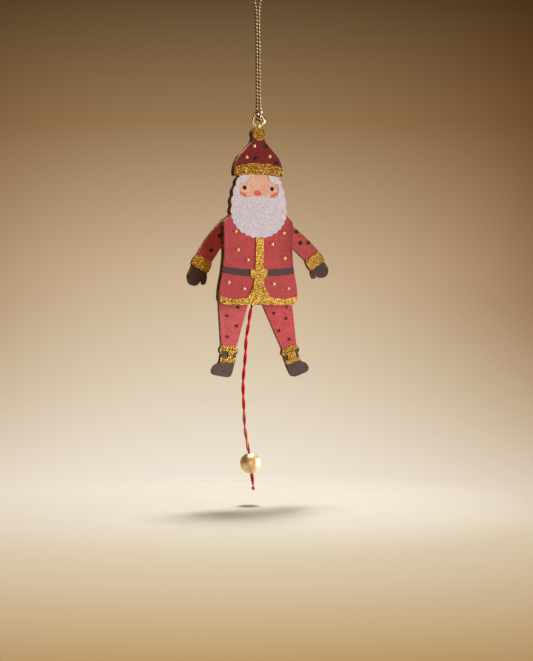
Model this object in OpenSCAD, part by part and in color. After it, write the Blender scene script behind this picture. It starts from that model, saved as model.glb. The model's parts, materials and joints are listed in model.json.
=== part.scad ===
// Hanging jumping jack: a flat wooden figure in a winter coat and hat. Its arms and legs turn on
// pins behind the body board, and a beaded string draws their levers down to swing them out.
// Millimetres, +Z up, figure facing -Y, hanging point at the origin.

/* [Boards and sheets] */
// Thickness of the body board
body_t = 5; // [4:0.25:8]
// Thickness of the arm and leg boards
limb_t = 2.4; // [1.6:0.1:4]
// Thickness of the printed face sheets
sheet_t = 0.3; // [0.2:0.05:0.6]
// Thickness of the raised glitter layers
glitter_t = 0.3; // [0.2:0.05:0.6]
// Thickness of the raised dots
dot_t = 0.2; // [0.1:0.05:0.4]
// Diameter of the gold dots
gold_dot_d = 2.3; // [1.6:0.1:2.8]
// Diameter of the dark dots on hat and sleeves
dark_dot_d = 2.5; // [1.6:0.1:2.8]
// Diameter of the dark dots on the trousers
leg_dot_d = 1.9; // [1.2:0.1:2.4]

/* [Hat] */
// Diameter of the pompom
pompom_d = 8.2; // [7:0.1:10]
// Width of the hat at its band
hat_w = 31.8; // [28:0.2:38]
// Height of the hat from the middle of the pompom to the brim
hat_h = 25.6; // [22:0.2:30]
// Height of the hat's band at its middle
band_h = 7.2; // [5:0.2:9]
// Drop of the band's top edge from its middle to its ends
band_drop = 3; // [1:0.2:4]

/* [Head and beard] */
// Width of the head across the beard
head_w = 37.2; // [34:0.2:42]
// Height from the brim down to the widest level of the beard
cheek_drop = 21.2; // [18:0.2:24]
// Height of the head's oval above the brim, most of it behind the hat
crown_rise = 9.2; // [8:0.2:12]
// Height from the widest level of the beard down to its tip
beard_h = 15.8; // [12:0.2:20]
// Depth of the scallops along the beard
scallop_depth = 0.8; // [0.3:0.1:1.4]
// Number of scallops along the lower half of the beard
scallop_n = 14; // [10:2:20]
// Width of the face
face_w = 25.8; // [22:0.2:28]
// Height of the face below the brim
face_h = 12.4; // [10:0.2:15]

/* [Coat] */
// Width of the coat at its hem
coat_w = 51.6; // [46:0.2:58]
// Height of the coat from its shoulder line to its hem
coat_h = 53.2; // [48:0.2:60]
// Drop of the shoulder line below the brim
shoulder_drop = 23.6; // [20:0.2:26]
// Width of the small notch in the middle of the hem
hem_notch_w = 5; // [2:0.2:6]
// Height of the small notch in the middle of the hem
hem_notch_h = 1.4; // [0.6:0.1:2.4]
// Width of the trim down the front
trim_w = 5.4; // [4:0.1:7]
// Height of the trim along the hem
hem_h = 3.6; // [2.5:0.1:5]
// Width of the belt's buckle
buckle_w = 11.2; // [9:0.2:14]
// Height of the belt's buckle
buckle_h = 5.2; // [4:0.1:7]
// Height of the buckle's middle above the hem
buckle_rise = 18.8; // [16:0.2:22]

/* [Arms] */
// Distance of the shoulder pins in from the ends of the hem
shoulder_inset = 9.3; // [8:0.1:11]
// Drop of the shoulder pins below the shoulder line
shoulder_pin_drop = 6.9; // [6:0.1:9]
// Radius of the round shoulder behind the body
shoulder_r = 6.5; // [5:0.1:7]
// Width of the sleeve
sleeve_w = 10.8; // [9:0.1:13]
// Distance of the sleeve's middle outward of the pin
sleeve_off = 3.4; // [2:0.1:5]
// Length of the left sleeve from the pin to the cuff
left_sleeve_l = 24.4; // [20:0.2:30]
// Length of the right sleeve from the pin to the cuff
right_sleeve_l = 27.4; // [20:0.2:30]
// Width of the cuffs
cuff_w = 11.8; // [10:0.1:14]
// Height of the cuffs
cuff_h = 7.2; // [5:0.1:9]
// Lean of the left cuff towards the body
left_cuff_lean = 6; // [0:1:20]
// Lean of the right cuff towards the body
right_cuff_lean = 13; // [0:1:20]
// Lean of a mitten from its cuff towards the body
mitten_lean = 12; // [0:1:20]
// Width of the mittens over the thumb
mitten_w = 11.6; // [10:0.1:14]
// Length of the left mitten below its cuff
left_mitten_l = 10; // [7:0.1:13]
// Length of the right mitten below its cuff
right_mitten_l = 8; // [7:0.1:13]
// Angle of the left arm out from straight down
left_arm_rest = 33; // [25:1:50]
// Angle of the right arm out from straight down
right_arm_rest = 47; // [25:1:50]

/* [Legs] */
// Distance of the hip pins from the middle
hip_x = 13.4; // [12.6:0.1:14.5]
// Height of the hip pins above the hem
hip_rise = 12.8; // [11:0.1:15]
// Radius of the round hip behind the coat
hip_r = 9.4; // [8:0.1:10]
// Width of the trousers at the hem of the coat
thigh_w = 18.8; // [16:0.2:20]
// Width of the trousers at the boot
shin_w = 9.8; // [8:0.1:12]
// Distance of the leg's middle inward of the pin
leg_off = 0.9; // [0:0.1:2]
// Length of the left trousers from the pin to the boot
left_trouser_l = 38; // [32:0.5:44]
// Length of the right trousers from the pin to the boot
right_trouser_l = 40; // [32:0.5:44]
// Height of the boots
boot_h = 18.2; // [14:0.2:22]
// Length of the boots from heel to toe
boot_l = 13; // [11:0.2:16]
// Width of the boot's top band
boot_band_w = 12.2; // [10:0.1:14]
// Height of the boot's trim
boot_trim_h = 9.6; // [8:0.1:12]
// Angle of the left leg out from straight down
left_leg_rest = 6.5; // [0:0.5:20]
// Angle of the right leg out from straight down
right_leg_rest = 16; // [0:0.5:20]

/* [Mechanism] */
// Travel of the pull string
pull_travel = 8; // [6:0.5:9]
// Length of the arm levers from pin to string hole
arm_lever = 7.2; // [6.5:0.1:8]
// Length of the leg levers from pin to string hole
leg_lever = 9.2; // [8.5:0.1:9.6]
// Diameter of the tie strings
tie_d = 1; // [0.6:0.1:1.2]
// Diameter of the string holes
string_hole_d = 2.7; // [2.4:0.1:3]
// Wood left round a string hole
lever_wall = 1.5; // [1.2:0.1:1.8]
// Diameter of the pivot pins
pin_d = 2; // [1.6:0.1:2.4]
// Diameter of the pins' heads
pin_head_d = 4.6; // [3.8:0.1:5.2]
// Height of the pins' domed heads
pin_head_h = 1.1; // [0.8:0.1:1.6]
// Depth of the pins in the body board
pin_depth = 3.4; // [2:0.1:3.6]
// Radial clearance of a limb on its pin
pin_fit = 0.05; // [0.02:0.01:0.08]
// Gap between the body board and the limbs
limb_gap = 1.2; // [1:0.1:1.6]
// Play along a pin at a washer and at a head
pin_play = 0.1; // [0.05:0.05:0.15]
// Diameter of the washers behind the body board
washer_d = 6; // [5:0.1:6.4]
// Diameter of the knots at the middle of the tie strings
knot_d = 2.6; // [2.2:0.1:3]
// Height of the knots at the middle of the tie strings
knot_h = 3.2; // [2.6:0.1:4]
// Diameter of the flat stopper knots in front of the levers
stopper_d = 4.2; // [4:0.1:4.6]
// Thickness of the flat stopper knots
stopper_t = 0.7; // [0.5:0.05:0.75]

/* [Pull string and bead] */
// Diameter of the twisted pull cord
pull_cord_d = 2.2; // [1.6:0.1:2.4]
// Diameter of one strand of the pull cord
strand_d = 1.1; // [0.8:0.1:1.2]
// Diameter of the bead
bead_d = 12.8; // [10:0.2:16]
// Diameter of the bead's bore
bead_bore_d = 2.6; // [2.5:0.1:3.4]
// Depth of the bead's flats round its bore
bead_flat = 0.35; // [0.2:0.05:0.6]
// Diameter of the knot at the end of the pull cord
end_knot_d = 2.8; // [2.6:0.1:4]
// Length of the knot at the end of the pull cord
end_knot_l = 3.6; // [2.4:0.1:4.4]

/* [Screw eye and hanging cord] */
// Outer diameter of the screw eye
eye_d = 8; // [7:0.1:10]
// Diameter of the screw eye's wire
wire_d = 1.6; // [1.2:0.1:1.8]
// Length of the screw eye's shank in the board
shank_l = 9; // [6:0.5:12]
// Length of the point of the shank
point_l = 2; // [1:0.2:3]
// Distance of the screw eye from the middle of the board
eye_x = 1.1; // [-1.5:0.1:1.5]
// Turn of the screw eye about its shank
eye_turn = -25; // [-60:5:60]
// Opening left where the screw eye's wire closes
eye_opening = 24; // [10:2:40]
// Diameter of the hanging cord
hang_cord_d = 1.6; // [1.2:0.1:1.7]

/* [Hidden] */
$fn = 64;

// Colours
wood_colour = "#8a6440";
coat_colour = "#b84a50";
gold_colour = "#c08a35";
beard_colour = "#dcd2d4";
dark_colour = "#2c3a2e";
brass_colour = "#c9a54e";
red_string_colour = "#b0141c";
gold_cord_colour = "#b8944c";
left_side = -1;
right_side = 1;

// Room left between loose pieces, and how far a cut runs past a face
clear = 0.3;
overrun = 1;
// Points along a rounded corner, along one scallop and round a cord
corner_steps = 5;
scallop_steps = 6;
cord_sides = 8;
// Rings of a cord from one point of its route to the next
hang_steps = 1;
pull_steps = 2;

// Route of the hanging cord, up from the hitch, over the hanging point and down again
hang_route = [
    [0, 0.5, -79.5], [0, 0.2, -75], [-0.1, 0, -70], [-0.2, 0, -60], [-0.3, 0, -50],
    [-0.4, 0, -40], [-0.5, 0, -30], [-0.6, 0, -20], [-1.5, 0, -14], [-2.8, 0, -9],
    [-3.6, 0, -5], [-3.2, 0, -1.5], [-1.8, 0, 0.3], [0, 0, 0.8], [1.8, 0, 0.3],
    [3.2, 0, -1.5], [3.6, 0, -5], [2.8, 0, -9], [1.6, 0, -14], [1.1, 0, -20],
    [1.2, 0, -30], [1.3, 0, -40], [1.4, 0, -50], [1.5, 0, -60], [1.6, 0, -70],
    [1.8, -0.2, -75], [2.2, -0.5, -79.5]
];
// Route of the pull cord, down from the knot on the leg tie string
pull_route = [
    [0, 0, -1.6], [0.5, 0, -8], [0.5, 0, -16], [-1, 0, -22], [-2, 0, -29], [-3.5, 0, -37],
    [-4, 0, -46], [-4.5, 0, -52], [-5.5, 0, -62], [-5.5, 0, -71], [-5, 0, -80],
    [-4.5, 0, -90], [-3, 0, -100], [-1.5, 0, -107], [-0.75, 0, -113], [0, 0, -119],
    [0.5, 0, -122.5], [1, 0, -126.5]
];
// Place of the bead in that route
bead_stop = 14;

// Screw eye and hitch
wire_r = wire_d / 2;
eye_r = eye_d / 2 - wire_r;
wrap_fit = 0.12;
wrap_r = wire_r + wrap_fit + hang_cord_d / 2;
wrap_spread = 15.5;
strand_seat = 0.4;
eye_z = hang_route[0][2] - eye_r - wrap_r + strand_seat;
eye_seat = 0.3;
eye_start = 270;
// How far the head runs up behind the hat's band, and the rounded edge of a knot
head_tuck_share = 0.7;
knot_edge_share = 0.24;

// Levels of the figure, from the top down
top_z = eye_z - eye_r - wire_r - eye_seat;
pompom_z = top_z - pompom_d / 2;
brim_z = pompom_z - hat_h;
cheek_z = brim_z - cheek_drop;
crown_h = cheek_drop + crown_rise;
collar_z = brim_z - shoulder_drop;
hem_z = collar_z - coat_h;
shoulder_x = coat_w / 2 - shoulder_inset;
shoulder_z = collar_z - shoulder_pin_drop;
hip_z = hem_z + hip_rise;

// Layers from front to back
body_front = -body_t / 2;
body_back = body_t / 2;
sheet_front = body_front - sheet_t;
limb_front = body_back + limb_gap;
limb_mid = limb_front + sheet_t;
limb_back = limb_mid + limb_t;
string_y = limb_back + knot_d / 2 + clear;
washer_t = limb_gap - pin_play;

// Swing of the levers, evenly above and below the level of the pins
arm_swing = 2 * asin(pull_travel / 2 / arm_lever);
leg_swing = 2 * asin(pull_travel / 2 / leg_lever);
arm_tie_z = shoulder_z + pull_travel / 2;
leg_tie_z = hip_z + pull_travel / 2;
arm_tie_x = shoulder_x - arm_lever * (1 + cos(arm_swing / 2)) / 2;
leg_tie_x = hip_x - leg_lever * (1 + cos(leg_swing / 2)) / 2;
lever_r = string_hole_d / 2 + lever_wall;
tie_bend = 2 * tie_d;
leg_knot_at = [0, string_y, leg_tie_z];

// Level of the brim at its middle, and height of the hat above its band, down from the pompom
brim_mid_share = 0.955;
hat_crown_h = brim_mid_share * hat_h - band_h;
// Right half of the hat: across from the middle, down from the pompom, corner rounding
hat_shares = [
    [0, 0, 0], [0.2, 0.05, 0], [0.27, 0.19, 0.4], [0.54, 0.36, 0.4], [0.85, 0.56, 0.4],
    [0.97, 0.75, 0.4], [1.01, 0.9, 0.4], [0.98, 0.995, 0.35], [0.74, 0.99, 0.4],
    [0.4, brim_mid_share, 0.4], [0, brim_mid_share, 0]
];
// Right half of the face: across from the middle, down from the brim, corner rounding
face_shares = [
    [0, -0.4, 0], [0.42, -0.4, 0], [0.5, 0.12, 0.4], [0.7, 0.3, 0.4], [0.97, 0.32, 0.4],
    [1.02, 0.6, 0.4], [0.98, 0.88, 0.4], [0.78, 1.02, 0.4], [0.4, 0.97, 0.4], [0, 0.93, 0]
];
// Right half of the coat: across from the middle, down from the shoulder line, corner rounding
coat_shares = [
    [0, 0, 0], [0.72, -0.01, 0], [0.88, 0.068, 0.12], [0.867, 0.3, 0.4], [0.87, 0.47, 0.4],
    [0.91, 0.63, 0.4], [0.985, 0.8, 0.4], [1.005, 0.93, 0.3], [0.95, 0.99, 0.4], [0.8, 1, 0.3],
    [0.06, 1, 0.2]
];
// Front trim above the belt: across in its own widths, down from the shoulder line to the buckle's middle
trim_shares = [[-0.34, 0.31], [-0.35, 0.54], [-0.46, 1], [0.54, 1], [0.56, 0.54], [0.6, 0.31]];
// Right half of the trim below the belt: across the coat, up to the buckle's middle, corner rounding
flare_shares = [[0, 1, 0], [0.1, 1, 0], [0.12, 0.69, 0.4], [0.2, 0.4, 0.4]];
// Right half of the trim along the hem: across the coat, up in its own height, corner rounding
hem_shares = [
    [0.3, 1.15, 0.4], [0.55, 0.95, 0.4], [0.8, 1.05, 0.4], [1.1, 1.9, 0], [1.1, -1, 0], [0, -1, 0]
];
// Corner rounding of the buckle and of the boot's patches
buckle_corner_share = 0.12;
patch_corner_share = 0.25;
// Sleeve: outward from its middle, down from the pin, corner rounding
sleeve_shares = [
    [0.29, 0, 0], [0.39, 0.23, 0.4], [0.51, 0.63, 0.4], [0.49, 1.06, 0], [-0.47, 0.98, 0],
    [-0.5, 0.78, 0.4], [-0.48, 0.6, 0.4], [-0.7, 0.4, 0.4], [-0.85, 0.2, 0]
];
// Cuff: outward from its middle, down from its top, corner rounding
cuff_shares = [
    [-0.46, 0, 0.15], [0.46, 0, 0.15], [0.53, 0.5, 0.3], [0.49, 1, 0.2], [-0.5, 1, 0.2], [-0.52, 0.5, 0.3]
];
// Mitten: outward from its middle, down from the cuff, corner rounding
mitten_shares = [
    [-0.4, -0.2, 0], [-0.46, 0.12, 0.3], [-0.54, 0.45, 0.4], [-0.52, 0.8, 0.4], [-0.36, 0.87, 0.4],
    [-0.27, 0.48, 0.2], [-0.16, 0.9, 0.4], [0.02, 1.07, 0.45], [0.34, 1.02, 0.45],
    [0.54, 0.62, 0.45], [0.48, 0.2, 0.4], [0.4, -0.2, 0]
];
// Boot from its top: across towards the toe in boot lengths, down in boot heights, corner rounding
boot_shares = [
    [-0.41, 0.15, 0], [-0.38, 0.52, 0.4], [-0.29, 0.93, 0.4], [-0.12, 1.02, 0.4], [0.2, 1.005, 0.3],
    [0.6, 0.985, 0.4], [0.73, 0.87, 0.4], [0.62, 0.66, 0.4], [0.38, 0.57, 0.4], [0.35, 0.15, 0]
];
// Trousers: outward in half widths, top and bottom in their own length, corner rounding
trouser_top_share = 0.16;
trouser_tuck_share = 1.04;
// Top band of the boot: across in band widths, down in boot heights, corner rounding
boot_band_shares = [
    [-0.4, -0.02, 0.1], [0.4, -0.02, 0.1], [0.5, 0.12, 0.3], [0.42, 0.27, 0.3], [-0.42, 0.24, 0.3],
    [-0.53, 0.15, 0.3]
];
// Dark patches left free in a boot's trim: middle across, middle down, width, height
left_patch_shares = [[0.18, 0.49, 0.38, 0.42], [-0.36, 0.5, 0.24, 0.36]];
right_patch_shares = [[0.3, 0.48, 0.22, 0.42], [-0.34, 0.56, 0.24, 0.36]];

// Dots: across in half widths, down in heights, of the piece that carries them
coat_dot_shares = [
    [0.634, 0.184], [0.336, 0.313], [0.657, 0.469], [0.377, 0.765], [0.75, 0.817],
    [-0.6, 0.175], [-0.537, 0.383], [-0.285, 0.494], [-0.773, 0.749], [-0.38, 0.819]
];
// Dots on the hat: across in half widths, down from the pompom to the band
hat_gold_dot_shares = [[-0.2, 0.42], [-0.51, 0.82], [0.44, 0.76]];
hat_dark_dot_shares = [[0.3, 0.415], [-0.11, 0.845], [0.744, 1]];
// Dots: outward from the middle in widths, down from the pin in lengths
left_arm_dot_shares = [[-0.22, 0.28], [-0.09, 0.74]];
right_arm_dot_shares = [[0.32, 0.36], [0.03, 0.6], [0.38, 0.74]];
left_leg_dot_shares = [[-0.18, 0.365], [0.18, 0.52], [-0.2, 0.66], [0.09, 0.85]];
right_leg_dot_shares = [[0.26, 0.395], [-0.24, 0.43], [0.14, 0.56], [-0.21, 0.71], [0.06, 0.88]];

// Outlines
function corner(a, b, c, k) =
    k == 0 ? [b] : [
        for (i = [0 : corner_steps])
            let (t = i / corner_steps)
            (b + (a - b) * k) * (1 - t) ^ 2 + b * 2 * t * (1 - t) + (b + (c - b) * k) * t ^ 2
    ];

// Closed outline, each corner rounded over the share of its sides that its point gives
function rounded(points) =
    let (n = len(points), at = [for (p = points) [p[0], p[1]]])
    [for (i = [0 : n - 1]) each corner(at[(i + n - 1) % n], at[i], at[(i + 1) % n], points[i][2])];

// Shares times a width and a height
function sized(shares, w, h) = [for (s = shares) [s[0] * w, s[1] * h, s[2]]];

// Right half of an outline joined to its mirror image
function both_halves(half) =
    concat(half, [
        for (i = [len(half) - 1 : -1 : 0])
            if (half[i][0] > 0) [-half[i][0], half[i][1], half[i][2]]
    ]);

function rectangle(x, y, w, h, k) = [
    [x - w / 2, y - h / 2, k], [x + w / 2, y - h / 2, k],
    [x + w / 2, y + h / 2, k], [x - w / 2, y + h / 2, k]
];

// Scalloped oval of the head, its angle measured from the tip of the beard
function head_point(a) =
    let (
        bulge = scallop_depth * (abs(cos(a * scallop_n)) - 1),
        high = abs(a) > 90 ? crown_h : beard_h
    )
    [(head_w / 2 + bulge) * sin(a), -(high + bulge) * cos(a)];

module pompom_2d() {
    translate([0, pompom_z]) circle(d = pompom_d);
}

module hat_2d() {
    translate([0, pompom_z]) polygon(rounded(both_halves(sized(hat_shares, hat_w / 2, -hat_h))));
}

// The hat below the arch of the band's top edge
module band_2d() {
    arch_r = (hat_w ^ 2 / 4 + band_drop ^ 2) / (2 * band_drop);
    intersection() {
        hat_2d();
        translate([0, pompom_z - hat_crown_h - arch_r]) circle(r = arch_r);
    }
}

module head_2d() {
    step = 180 / scallop_n / scallop_steps;
    reach = acos(-(cheek_drop + head_tuck_share * band_h) / crown_h);
    last = ceil(reach / step);
    translate([0, cheek_z]) polygon([for (i = [-last : last]) head_point(i * step)]);
}

module face_2d() {
    translate([0, brim_z]) polygon(rounded(both_halves(sized(face_shares, face_w / 2, -face_h))));
}

module beard_2d() {
    difference() {
        head_2d();
        hat_2d();
        face_2d();
    }
}

module coat_2d() {
    difference() {
        translate([0, collar_z]) polygon(rounded(both_halves(sized(coat_shares, coat_w / 2, -coat_h))));
        translate([0, hem_z])
            polygon([[-hem_notch_w / 2, -overrun], [0, hem_notch_h], [hem_notch_w / 2, -overrun]]);
    }
}

// What a shape covers of the coat below the beard
module on_coat_2d() {
    difference() {
        intersection() {
            coat_2d();
            children();
        }
        head_2d();
    }
}

module front_trim_2d() {
    run = coat_h - buckle_rise;
    translate([0, collar_z]) polygon([for (s = trim_shares) [s[0] * trim_w, -s[1] * run]]);
}

module buckle_2d() {
    translate([0, hem_z + buckle_rise])
        polygon(rounded(rectangle(0, 0, buckle_w, buckle_h, buckle_corner_share)));
}

module skirt_trim_2d() {
    flare = sized(flare_shares, coat_w / 2, buckle_rise);
    hem = sized(hem_shares, coat_w / 2, hem_h);
    translate([0, hem_z]) polygon(rounded(both_halves(concat(flare, hem))));
}

// Parts of an arm that hangs straight down from its pin at the origin, outward to +X.
// Frame of a cuff and its mitten, at the end of a sleeve
module at_cuff(sleeve_l, lean) {
    translate([sleeve_off, -sleeve_l]) rotate(-lean) children();
}

module cuff_2d(sleeve_l, lean) {
    at_cuff(sleeve_l, lean) polygon(rounded(sized(cuff_shares, cuff_w, -cuff_h)));
}

module sleeve_2d(sleeve_l) {
    translate([sleeve_off, 0]) polygon(rounded(sized(sleeve_shares, sleeve_w, -sleeve_l)));
}

module mitten_2d(sleeve_l, mitten_l, lean) {
    at_cuff(sleeve_l, lean) translate([0, -cuff_h]) rotate(-mitten_lean)
        polygon(rounded(sized(mitten_shares, mitten_w, -mitten_l)));
}

// Parts of a leg that hangs straight down from its pin at the origin, outward to +X.
// Half width of the trousers at a distance below the pin
function trouser_half(trouser_l, down) =
    thigh_w / 2 + (shin_w - thigh_w) / 2 * (down - hip_rise) / (trouser_l - hip_rise);

module trousers_2d(trouser_l) {
    top = trouser_top_share * trouser_l;
    tuck = trouser_tuck_share * trouser_l;
    translate([-leg_off, 0]) polygon([
        [-trouser_half(trouser_l, top), -top], [trouser_half(trouser_l, top), -top],
        [trouser_half(trouser_l, tuck), -tuck], [-trouser_half(trouser_l, tuck), -tuck]
    ]);
}

module boot_2d(trouser_l) {
    translate([-leg_off, -trouser_l]) polygon(rounded(sized(boot_shares, boot_l, -boot_h)));
}

module boot_band_2d(trouser_l) {
    translate([-leg_off, -trouser_l]) polygon(rounded(sized(boot_band_shares, boot_band_w, -boot_h)));
}

// What a shape covers of the boot's trim, with the dark patches left free
module on_boot_trim_2d(trouser_l, patches) {
    difference() {
        intersection() {
            children();
            translate([-leg_off - boot_l, -trouser_l - boot_trim_h]) square([2 * boot_l, 2 * boot_trim_h]);
        }
        for (s = patches)
            translate([s[0] * boot_l - leg_off, -s[1] * boot_trim_h - trouser_l])
                polygon(rounded(rectangle(0, 0, s[2] * boot_l, s[3] * boot_trim_h, patch_corner_share)));
    }
}

// Lever from the pin at the origin to its string hole, inward and up at rest
module at_lever(swing) {
    rotate(180 - swing / 2) children();
}

// Flat shapes in X and Z given thickness towards the front, their back faces at y
module layer(y, t) {
    for (i = [0 : $children - 1])
        translate([0, y, 0]) rotate([90, 0, 0]) linear_extrude(height = t) children(i);
}

module body_slab(y, t) {
    layer(y, t) {
        pompom_2d();
        hat_2d();
        head_2d();
        coat_2d();
    }
}

module lever_slab(y, t, lever, swing) {
    layer(y, t) {
        at_lever(swing) translate([0, -lever_r]) square([lever, 2 * lever_r]);
        at_lever(swing) translate([lever, 0]) circle(r = lever_r);
    }
}

// Pin hole and string hole, through board and sheet
module limb_holes(lever, swing) {
    layer(limb_back + overrun, limb_back - limb_front + 2 * overrun) {
        circle(d = pin_d + 2 * pin_fit);
        at_lever(swing) translate([lever, 0]) circle(d = string_hole_d);
    }
}

module arm_slab(y, t, sleeve_l, mitten_l, lean, rest) {
    difference() {
        union() {
            lever_slab(y, t, arm_lever, arm_swing);
            layer(y, t) {
                circle(r = shoulder_r);
                rotate(rest) sleeve_2d(sleeve_l);
                rotate(rest) cuff_2d(sleeve_l, lean);
                rotate(rest) mitten_2d(sleeve_l, mitten_l, lean);
            }
        }
        limb_holes(arm_lever, arm_swing);
    }
}

module leg_slab(y, t, trouser_l, rest) {
    difference() {
        union() {
            lever_slab(y, t, leg_lever, leg_swing);
            layer(y, t) {
                circle(r = hip_r);
                rotate(rest) trousers_2d(trouser_l);
                rotate(rest) boot_2d(trouser_l);
                rotate(rest) boot_band_2d(trouser_l);
            }
        }
        limb_holes(leg_lever, leg_swing);
    }
}

// Turned pieces with their axis along +Y, starting at y
module along_y(y) {
    translate([0, y, 0]) rotate([-90, 0, 0]) children();
}

// Frame of a pin on one side of the figure, outward to +X
module at_pin(side, x, z) {
    mirror([side < 0 ? 1 : 0, 0, 0]) translate([x, 0, z]) children();
}

module at_shoulder(side) {
    at_pin(side, shoulder_x, shoulder_z) children();
}

module at_hip(side) {
    at_pin(side, hip_x, hip_z) children();
}

// Dots on a flat shape
module dots(places, d) {
    for (p = places)
        translate(p) circle(d = d);
}

// Boards, sheets and raised layers of the body
module body_board() {
    color(wood_colour) difference() {
        body_slab(body_back, body_t);
        for (side = [left_side, right_side]) {
            at_shoulder(side) along_y(body_back - pin_depth) cylinder(d = pin_d, h = pin_depth + overrun);
            at_hip(side) along_y(body_back - pin_depth) cylinder(d = pin_d, h = pin_depth + overrun);
        }
        eye_shank(overrun);
    }
}

module body_face_sheet() {
    color(coat_colour) body_slab(body_front, sheet_t);
}

module hat_band() {
    color(gold_colour) layer(sheet_front, glitter_t) band_2d();
}

module pompom() {
    color(gold_colour) layer(sheet_front, glitter_t) pompom_2d();
}

module beard() {
    color(beard_colour) layer(sheet_front, glitter_t) beard_2d();
}

module coat_trim() {
    color(gold_colour) layer(sheet_front, glitter_t) {
        on_coat_2d() front_trim_2d();
        on_coat_2d() buckle_2d();
        on_coat_2d() skirt_trim_2d();
    }
}

module coat_dots() {
    color(gold_colour) layer(sheet_front, dot_t)
        dots([for (s = coat_dot_shares) [s[0] * coat_w / 2, collar_z - s[1] * coat_h]], gold_dot_d);
}

module hat_gold_dots() {
    color(gold_colour) layer(sheet_front, dot_t)
        dots([for (s = hat_gold_dot_shares) [s[0] * hat_w / 2, pompom_z - s[1] * hat_crown_h]], gold_dot_d);
}

module hat_dark_dots() {
    color(dark_colour) layer(sheet_front, dot_t)
        dots([for (s = hat_dark_dot_shares) [s[0] * hat_w / 2, pompom_z - s[1] * hat_crown_h]], dark_dot_d);
}

// Pivot pins and washers
module pivot_pin() {
    head_y = limb_back + pin_play;
    dome_r = (pin_head_d ^ 2 / 4 + pin_head_h ^ 2) / (2 * pin_head_h);
    color(brass_colour) {
        along_y(body_back - pin_depth) cylinder(d = pin_d, h = head_y - body_back + pin_depth);
        along_y(head_y) rotate_extrude() intersection() {
            translate([0, pin_head_h - dome_r]) circle(r = dome_r);
            square([pin_head_d, pin_head_h]);
        }
    }
}

module pivot_washer() {
    color(wood_colour) along_y(body_back) difference() {
        cylinder(d = washer_d, h = washer_t);
        translate([0, 0, -overrun]) cylinder(d = pin_d + 2 * pin_fit, h = washer_t + 2 * overrun);
    }
}

// Screw eye in the top of the board
module at_eye() {
    translate([eye_x, 0, eye_z]) rotate([0, 0, eye_turn]) children();
}

module eye_shank(above) {
    shank_top = -eye_r - wire_r - eye_seat;
    at_eye() {
        translate([0, 0, shank_top - shank_l]) cylinder(r = wire_r, h = shank_l + above);
        translate([0, 0, shank_top - shank_l - point_l]) cylinder(r1 = 0, r2 = wire_r, h = point_l);
    }
}

module screw_eye() {
    color(brass_colour) {
        eye_shank(wire_r + eye_seat);
        at_eye() {
            rotate([90, 0, 0]) rotate([0, 0, eye_start])
                rotate_extrude(angle = 360 - eye_opening) translate([eye_r, 0]) circle(r = wire_r);
            translate([0, 0, -eye_r]) sphere(r = wire_r);
        }
    }
}

// Two turns of the hanging cord round the wire of the eye
module hang_hitch() {
    color(gold_cord_colour) at_eye() rotate([90, 0, 0])
        for (turn = [-wrap_spread, wrap_spread])
            rotate([0, 0, 90 + turn]) translate([eye_r, 0, 0]) rotate([90, 0, 0])
                rotate_extrude() translate([wrap_r, 0]) circle(d = hang_cord_d);
}

// Smooth curve through a route, with a number of steps between two points
function curve_point(a, b, c, d, t) =
    (2 * b + (c - a) * t + (2 * a - 5 * b + 4 * c - d) * t ^ 2 + (3 * b - a - 3 * c + d) * t ^ 3) / 2;

function curve(points, steps) =
    let (n = len(points))
    concat([
        for (i = [0 : n - 2], k = [0 : steps - 1])
            curve_point(
                points[max(i - 1, 0)], points[i], points[i + 1], points[min(i + 2, n - 1)], k / steps
            )
    ], [points[n - 1]]);

// Direction of a path at one of its points
function heading(path, i) =
    let (step = path[min(i + 1, len(path) - 1)] - path[max(i - 1, 0)])
    step / norm(step);

function cord_ring(centre, along, up, r) =
    let (across = cross(up, along) / norm(cross(up, along)), over = cross(along, across))
    [for (k = [0 : cord_sides - 1])
        let (a = 360 * k / cord_sides)
        centre + r * (cos(a) * across + sin(a) * over)];

// Tube along a path that never runs parallel to up
module cord(path, d, up) {
    n = len(path);
    rings = [for (i = [0 : n - 1]) each cord_ring(path[i], heading(path, i), up, d / 2)];
    side_faces = [
        for (i = [0 : n - 2], k = [0 : cord_sides - 1])
            let (a = i * cord_sides + k, b = i * cord_sides + (k + 1) % cord_sides)
            each [[a, a + cord_sides, b], [b, a + cord_sides, b + cord_sides]]
    ];
    first = [for (k = [0 : cord_sides - 1]) k];
    last = [for (k = [cord_sides - 1 : -1 : 0]) (n - 1) * cord_sides + k];
    polyhedron(points = rings, faces = concat(side_faces, [first, last]));
}

module hang_cord() {
    color(gold_cord_colour) cord(curve(hang_route, hang_steps), hang_cord_d, [0, 1, 0]);
}

// Arms and legs
module arm_board(side, sleeve_l, mitten_l, lean, rest) {
    color(wood_colour) at_shoulder(side) arm_slab(limb_back, limb_t, sleeve_l, mitten_l, lean, rest);
}

module arm_face_sheet(side, sleeve_l, mitten_l, lean, rest) {
    color(coat_colour) at_shoulder(side) arm_slab(limb_mid, sheet_t, sleeve_l, mitten_l, lean, rest);
}

module arm_cuff(side, sleeve_l, lean, rest) {
    color(gold_colour) at_shoulder(side) layer(limb_front, glitter_t) rotate(rest) cuff_2d(sleeve_l, lean);
}

module arm_dots(side, sleeve_l, rest, shares) {
    color(dark_colour) at_shoulder(side) layer(limb_front, dot_t) rotate(rest)
        dots([for (s = shares) [sleeve_off + s[0] * sleeve_w, -s[1] * sleeve_l]], dark_dot_d);
}

module leg_board(side, trouser_l, rest) {
    color(wood_colour) at_hip(side) leg_slab(limb_back, limb_t, trouser_l, rest);
}

module leg_face_sheet(side, trouser_l, rest) {
    color(coat_colour) at_hip(side) leg_slab(limb_mid, sheet_t, trouser_l, rest);
}

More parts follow.
